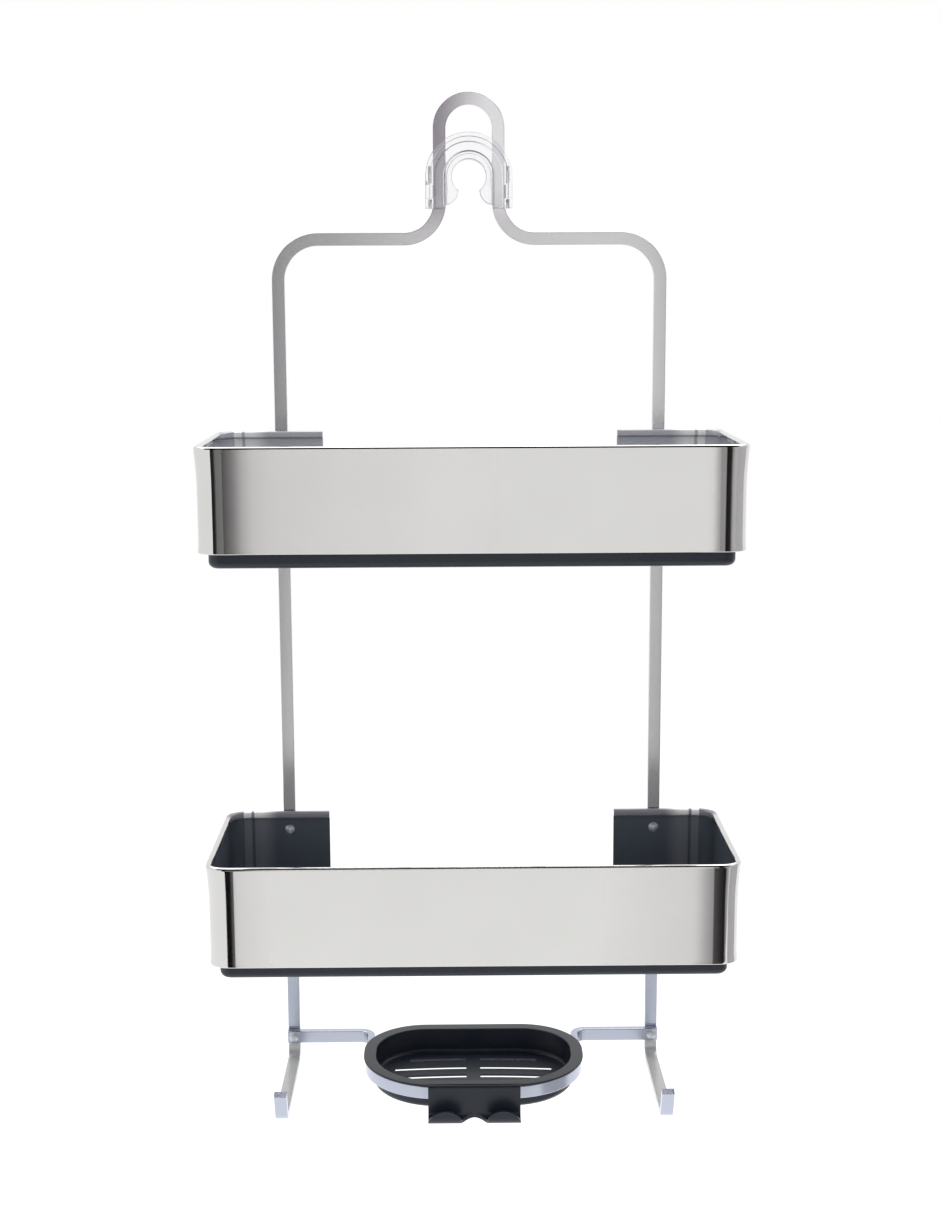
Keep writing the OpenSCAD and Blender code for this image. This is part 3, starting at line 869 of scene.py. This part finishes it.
def dish_profile(bottom, top):
    """The dish's section as (distance inward, height), from its underside over the flange and in."""
    outside = FLANGE_W - BASIN_WALL
    foot = arc((BASIN_FOOT_R, BASIN_FOOT_R), BASIN_FOOT_R, 270, 180, 6)
    profile = [(outside + p.x, bottom + p.y) for p in foot]
    profile += [(outside, top - FLANGE_T)]
    profile += [(p.x, top + p.y) for p in arc((0.5, -FLANGE_T + 0.5), 0.5, 270, 180, 3)]
    profile += [(p.x, top + p.y) for p in arc((0.6, -0.6), 0.6, 180, 90, 4)]
    profile += [(FLANGE_W + p.x, top + p.y) for p in arc((-0.8, -0.8), 0.8, 90, 0, 4)]
    floor = bottom + BASIN_FLOOR
    fillet = arc((BASIN_FILLET, BASIN_FILLET), BASIN_FILLET, 180, 270, 6)
    return profile + [(FLANGE_W + p.x, floor + p.y) for p in fillet]


def make_dish(material):
    """The soap dish's basin with its wide flange, without the razor holder."""
    top = node_box("soap_dish")[1].z
    bottom = top - DISH_DEPTH
    middle = Vector((0, -DISH_FORWARD, 0))
    bm = bmesh.new()

    def ring(inward, z):
        return add_loop(bm, [middle + Vector((p.x, p.y, z)) for p in dish_outline(inward)])

    make_slotted_floor(
        bm, [ring(*step) for step in dish_profile(bottom, top)], dish_slots(),
        lambda p: middle + Vector((p.x, p.y, bottom + BASIN_FLOOR)),
        lambda p: middle + Vector((p.x, p.y, bottom)),
    )
    new_piece("dish_basin", bm, material, "dish", ["soap_dish"])


def extruded(outline, start, end, place):
    """A bmesh of an outline given depth, where place(point, depth) gives a corner."""
    bm = bmesh.new()
    first = add_loop(bm, [place(p, start) for p in outline])
    second = add_loop(bm, [place(p, end) for p in outline])
    bridge(bm, first, second)
    bm.faces.new(first)
    bm.faces.new(second)
    bmesh.ops.recalc_face_normals(bm, faces=bm.faces)
    return bm


def loose_object(name, bm):
    """An object in the scene, made of a bmesh that isn't used again."""
    mesh = bpy.data.meshes.new(name)
    bm.to_mesh(mesh)
    bm.free()
    made = bpy.data.objects.new(name, mesh)
    bpy.context.scene.collection.objects.link(made)
    return made


def carved(bm, cutters, edge, by_weight=False):
    """A bmesh with each cutter taken away and its sharp edges rounded.

    By weight, each edge is rounded only as far as its own weight says.
    """
    block = loose_object("block", bm)
    tools = [loose_object("cutter", cutter) for cutter in cutters]
    for tool in tools:
        cut = block.modifiers.new("cut", "BOOLEAN")
        cut.operation = "DIFFERENCE"
        cut.solver = "EXACT"
        cut.object = tool
    round_off = block.modifiers.new("round", "BEVEL")
    round_off.width = edge
    round_off.segments = 4
    round_off.limit_method = "WEIGHT" if by_weight else "ANGLE"
    round_off.angle_limit = math.radians(35)
    round_off.use_clamp_overlap = not by_weight
    shaped = block.evaluated_get(bpy.context.evaluated_depsgraph_get())
    result = bmesh.new()
    result.from_mesh(shaped.to_mesh())
    shaped.to_mesh_clear()
    for made in [block, *tools]:
        bpy.data.objects.remove(made)
    return result


def holder_section(top):
    """The razor holder's section as (y, z), and its trough's centre.

    It runs down from the flange, through the trough and back round underneath it.
    """
    back = -DISH_FORWARD - FLANGE_HALF_D + 0.3
    trough = (back - HOLDER_T - TROUGH_R, top - HOLDER_H + TROUGH_R + HOLDER_T)
    bend = 1.8
    root = back + 1.6
    points = [Vector((root, top))]
    points += arc((back - HOLDER_T + bend, top - bend), bend, 90, 180, 5)
    points += arc(trough, TROUGH_R, 0, -180, 16)
    lip = TROUGH_R + HOLDER_T
    points.append(Vector((trough[0] - TROUGH_R, trough[1] + LIP_RISE)))
    points.append(Vector((trough[0] - lip, trough[1] + LIP_RISE)))
    points += arc(trough, lip, 180, 360, 20)
    points.append(Vector((back, top - FLANGE_T)))
    points.append(Vector((root, top - FLANGE_T)))
    return points, trough


def make_holder(material):
    """The razor holder on the dish's front: a trough whose two round lips leave a notch between."""
    top = node_box("soap_dish")[1].z
    section, trough = holder_section(top)
    block = extruded(section, -HOLDER_W / 2, HOLDER_W / 2, lambda p, x: Vector((x, p.x, p.y)))
    lip_front = trough[0] - TROUGH_R - HOLDER_T
    lip_top = trough[1] + LIP_RISE
    notch = extruded(
        arc((0, lip_front + NOTCH_SHIFT), NOTCH_R, 0, 348.75, 31), top - 2 * HOLDER_H, top - 3,
        lambda p, z: Vector((p.x, p.y, z)),
    )
    above = lip_top + 4
    trim = [Vector((-HOLDER_W, above))]
    for side in (-1, 1):
        centre = (side * LIP_X, lip_top - LIP_R)
        trim += arc(centre, LIP_R, 162 if side < 0 else 140, 40 if side < 0 else 18, 16)
    trim.append(Vector((HOLDER_W, above)))
    trimmer = extruded(trim, lip_front - 4, trough[0], lambda p, y: Vector((p.x, y, p.y)))
    bm = carved(block, [notch, trimmer], HOLDER_ROUND)
    new_piece("razor_holder", bm, material, "dish", [])


# ---- saddle ----

SMALL_ROUND = 0.5
COVER_ROUND = 1.4
PLATE_BACK_Y = -2.9


def round_cover(bm):
    """Marks how strongly each front edge is rounded: most a little, the ridge over the bar a lot."""
    weights = bm.edges.layers.float.new("bevel_weight_edge")
    front = min(v.co.y for v in bm.verts)
    for edge in bm.edges:
        if len(edge.link_faces) != 2 or edge.calc_face_angle_signed() < math.radians(35):
            continue
        first, second = (v.co for v in edge.verts)
        if first.y > PLATE_BACK_Y - 0.1 or abs(first.y - second.y) > 0.01:
            continue
        reach = min(Vector((v.x, max(v.z, 0))).length for v in (first, second))
        on_ridge = first.y < front + 0.05 and reach > LOOP_R - BAR_W / 2
        edge[weights] = 1 if on_ridge else SMALL_ROUND / COVER_ROUND


def make_saddle(material):
    """The CAD saddle with the edges of its front rounded."""
    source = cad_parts["arm_saddle"].data
    bm = bmesh.new()
    bm.from_mesh(source)
    bmesh.ops.scale(bm, vec=(1 / MM,) * 3, verts=bm.verts)
    bmesh.ops.remove_doubles(bm, verts=bm.verts, dist=0.001)
    bmesh.ops.dissolve_limit(bm, angle_limit=math.radians(1), verts=bm.verts, edges=bm.edges)
    round_cover(bm)
    bm = carved(bm, [], COVER_ROUND, by_weight=True)
    new_piece("clear_saddle", bm, material, "saddle", ["arm_saddle"], 50)


# ---- rivets ----

RIVET_R = 3.3
RIVET_RISE = 1.8
SHANK_R = 2.0
TAIL_R = 2.6
TAIL_RISE = 0.7
RIVET_SIDES = 32


def rivet_profile(front, back):
    """A rivet's outline as (radius, y): its dome, its shank and its low tail, without their tips."""
    face = front + RIVET_RISE
    dome_r = (RIVET_R ** 2 + RIVET_RISE ** 2) / (2 * RIVET_RISE)
    slope = math.degrees(math.asin(RIVET_R / dome_r))
    profile = [(p.x, front + dome_r - p.y) for p in arc((0, 0), dome_r, 90, 90 - slope, 8)[1:]]
    profile += [(RIVET_R - 0.3, face + 0.2), (SHANK_R, face + 0.2), (SHANK_R, back - 0.3)]
    profile += [(TAIL_R, back - 0.1), (TAIL_R, back + 0.15)]
    return profile + [(TAIL_R * 0.8, back + 0.5), (TAIL_R * 0.4, back + 0.65)]


def make_rivet(name, node, material):
    """A rivet with a domed head in front and a low formed tail behind the bar."""
    low, high = node_box(node)
    middle_x, middle_z = (low.x + high.x) / 2, (low.z + high.z) / 2
    bm = bmesh.new()
    rings = []
    for radius, y in rivet_profile(low.y, high.y):
        circle = [radius * unit(360 * k / RIVET_SIDES) for k in range(RIVET_SIDES)]
        rings.append(add_loop(bm, [Vector((middle_x + p.x, y, middle_z + p.y)) for p in circle]))
    for a, b in zip(rings, rings[1:]):
        bridge(bm, a, b)
    for ring, tip_y in ((rings[0], low.y), (rings[-1], high.y + TAIL_RISE)):
        tip = bm.verts.new((middle_x, tip_y, middle_z))
        for k in range(RIVET_SIDES):
            bm.faces.new((ring[k], ring[(k + 1) % RIVET_SIDES], tip))
    new_piece(name, bm, material, "frame", [node])


# ---- studio ----

FLOOR_BELOW = 900
CARD_Y = -1.25
CARD_FOOT, CARD_SPLIT, CARD_TOP = -1.0, -0.58, 0.4
CARD_GREEN = 0.985
# What the baskets' corners mirror. Each stop is a place across a card, in millimetres, and how
# light the card is there.
UPPER_LEFT = (
    (-640, 0.01), (-480, 0.02), (-450, 0.17), (-310, 0.19), (-288, 0.05),
    (-272, 0.22), (-263, 0.45), (-250, 0.62), (-225, 0.69), (-150, 0.73), (-30, 0.79), (40, 0.785),
)
UPPER_RIGHT = (
    (300, 0.785), (306, 0.30), (425, 0.30), (445, 0.01), (520, 0.02),
    (580, 0.22), (900, 0.45), (1500, 0.50),
)
LOWER_LEFT = (
    (-480, 0.004), (-380, 0.01), (-330, 0.10), (-300, 0.13), (-282, 0.75), (-240, 0.84),
)
LOWER_RIGHT = (
    (170, 0.84), (285, 0.74), (302, 0.38), (335, 0.08), (560, 0.01),
    (760, 0.03), (900, 0.25), (1400, 0.6),
)


def plain_paint(name, colour):
    """Flat paint for the studio's own panels."""
    material, _, _, shader = new_material(name)
    shader.inputs["Base Color"].default_value = (*colour, 1)
    shader.inputs["Roughness"].default_value = 1
    shader.inputs["Specular IOR Level"].default_value = 0
    return material


def panel(name, width, height, place, look_at, material):
    """A flat studio panel that faces a point."""
    w, h = width / 2, height / 2
    bm = bmesh.new()
    bm.faces.new(add_loop(bm, [(-w, -h, 0), (w, -h, 0), (w, h, 0), (-w, h, 0)]))
    made = loose_object(name, bm)
    made.data.materials.append(material)
    made.location = place
    made.rotation_euler = (Vector(look_at) - Vector(place)).to_track_quat("Z", "Y").to_euler()
    return made


def hide_card(card, through):
    """Leaves a card visible in reflections only, or only through clear plastic."""
    card.visible_camera = False
    card.visible_diffuse = False
    card.visible_shadow = False
    card.visible_glossy = not through
    card.visible_transmission = through


def flag(name, width, height, place, look_at, material, through=False):
    """A panel that only reflections show, or only clear plastic."""
    hide_card(panel(name, width, height, place, look_at, material), through)


def graded_card(name, low_z, high_z, stops):
    """An upright card in front of the baskets, for their corners to mirror."""
    material, nodes, links, shader = new_material(name)
    shader.inputs["Roughness"].default_value = 1
    shader.inputs["Specular IOR Level"].default_value = 0
    place = nodes.new("ShaderNodeTexCoord").outputs["Object"]
    across = nodes.new("ShaderNodeMapRange")
    first, last = stops[0][0], stops[-1][0]
    across.inputs["From Min"].default_value = first * MM
    across.inputs["From Max"].default_value = last * MM
    links.new(part_of(nodes, links, place, "X"), across.inputs["Value"])
    ramp = nodes.new("ShaderNodeValToRGB")
    links.new(across.outputs["Result"], ramp.inputs["Fac"])
    steps = ramp.color_ramp.elements
    steps.remove(steps[1])
    for i, (x, light) in enumerate(stops):
        step = steps[0] if i == 0 else steps.new((x - first) / (last - first))
        step.color = (light, light * CARD_GREEN, light, 1)
    links.new(ramp.outputs["Color"], shader.inputs["Base Color"])
    corners = [(first * MM, low_z), (last * MM, low_z), (last * MM, high_z), (first * MM, high_z)]
    bm = bmesh.new()
    bm.faces.new(add_loop(bm, [(x, CARD_Y, z) for x, z in corners]))
    card = loose_object(name, bm)
    card.data.materials.append(material)
    hide_card(card, False)


def soft_box(name, width, height, place, look_at, power):
    """A soft rectangular light that faces a point."""
    data = bpy.data.lights.new(name, "AREA")
    data.shape = "RECTANGLE"
    data.size = width
    data.size_y = height
    data.energy = power
    light = bpy.data.objects.new(name, data)
    light.location = place
    light.rotation_euler = (Vector(look_at) - Vector(place)).to_track_quat("-Z", "Y").to_euler()
    bpy.context.scene.collection.objects.link(light)


def make_studio():
    """A white room with a light above, cards in front for the metal to mirror and cards behind."""
    world = bpy.data.worlds.new("studio")
    world.use_nodes = True
    sky = world.node_tree.nodes["Background"]
    sky.inputs["Color"].default_value = (1, 1, 1, 1)
    sky.inputs["Strength"].default_value = 1.0
    bpy.context.scene.world = world
    bpy.context.scene.view_settings.view_transform = "Standard"
    floor_z = cad_box[0].z - FLOOR_BELOW * MM
    panel("floor", 40, 40, (0, 0, floor_z), (0, 0, 1), plain_paint("pale_floor", (1, 1, 1)))
    soft_box("overhead", 2.6, 2.0, (0, 0.8, 1.2), (0, 0.8, 0), 33)
    graded_card("upper_left_card", CARD_SPLIT, CARD_TOP, UPPER_LEFT)
    graded_card("upper_right_card", CARD_SPLIT, CARD_TOP, UPPER_RIGHT)
    graded_card("lower_left_card", CARD_FOOT, CARD_SPLIT, LOWER_LEFT)
    graded_card("lower_right_card", CARD_FOOT, CARD_SPLIT, LOWER_RIGHT)
    black = plain_paint("black_card", (0.004, 0.004, 0.005))
    grey = plain_paint("grey_card", (0.46, 0.45, 0.47))
    dim = plain_paint("dim_card", (0.22, 0.21, 0.25))
    flag("brow", 2.6, 1.3, (0, -0.75, 0.72), (0, -0.12, -0.2), black)
    flag("right_wall", 1.5, 2.0, (1.5, -0.5, -0.58), (0, -0.5, -0.58), grey)
    for name, size, place in (
        ("back_left", (1.0, 2.0), (-0.56, 0.3, 0)),
        ("back_right", (1.0, 2.0), (0.56, 0.3, 0)),
        ("back_top", (0.12, 1.0), (0, 0.3, 0.60)),
        ("back_foot", (0.12, 1.0), (0, 0.3, -0.56)),
    ):
        flag(name, *size, place, (place[0], 0, place[2]), dim, through=True)


def main():
    make_camera()
    band_low, band_high = node_box("upper_basket_band")
    spans = face_spans(band_section(band_high.z - band_low.z))
    satin, polished, rivets = satin_aluminium(), polished_aluminium(*spans), rivet_metal()
    charcoal, clear = charcoal_plastic(), clear_plastic()
    make_frame_bar(satin)
    for tier in ("upper", "lower"):
        make_band(f"{tier}_rolled_band", f"{tier}_basket_band", polished)
        make_tray(f"{tier}_drip_tray", f"{tier}_basket_band", f"{tier}_tray", f"{tier}_tray", charcoal)
    make_bracket(satin)
    make_dish(charcoal)
    make_holder(charcoal)
    make_saddle(clear)
    for place in ("upper", "lower", "bracket"):
        for side in ("left", "right"):
            make_rivet(f"{place}_{side}_dome", f"{place}_{side}_rivet", rivets)
    make_studio()


main()
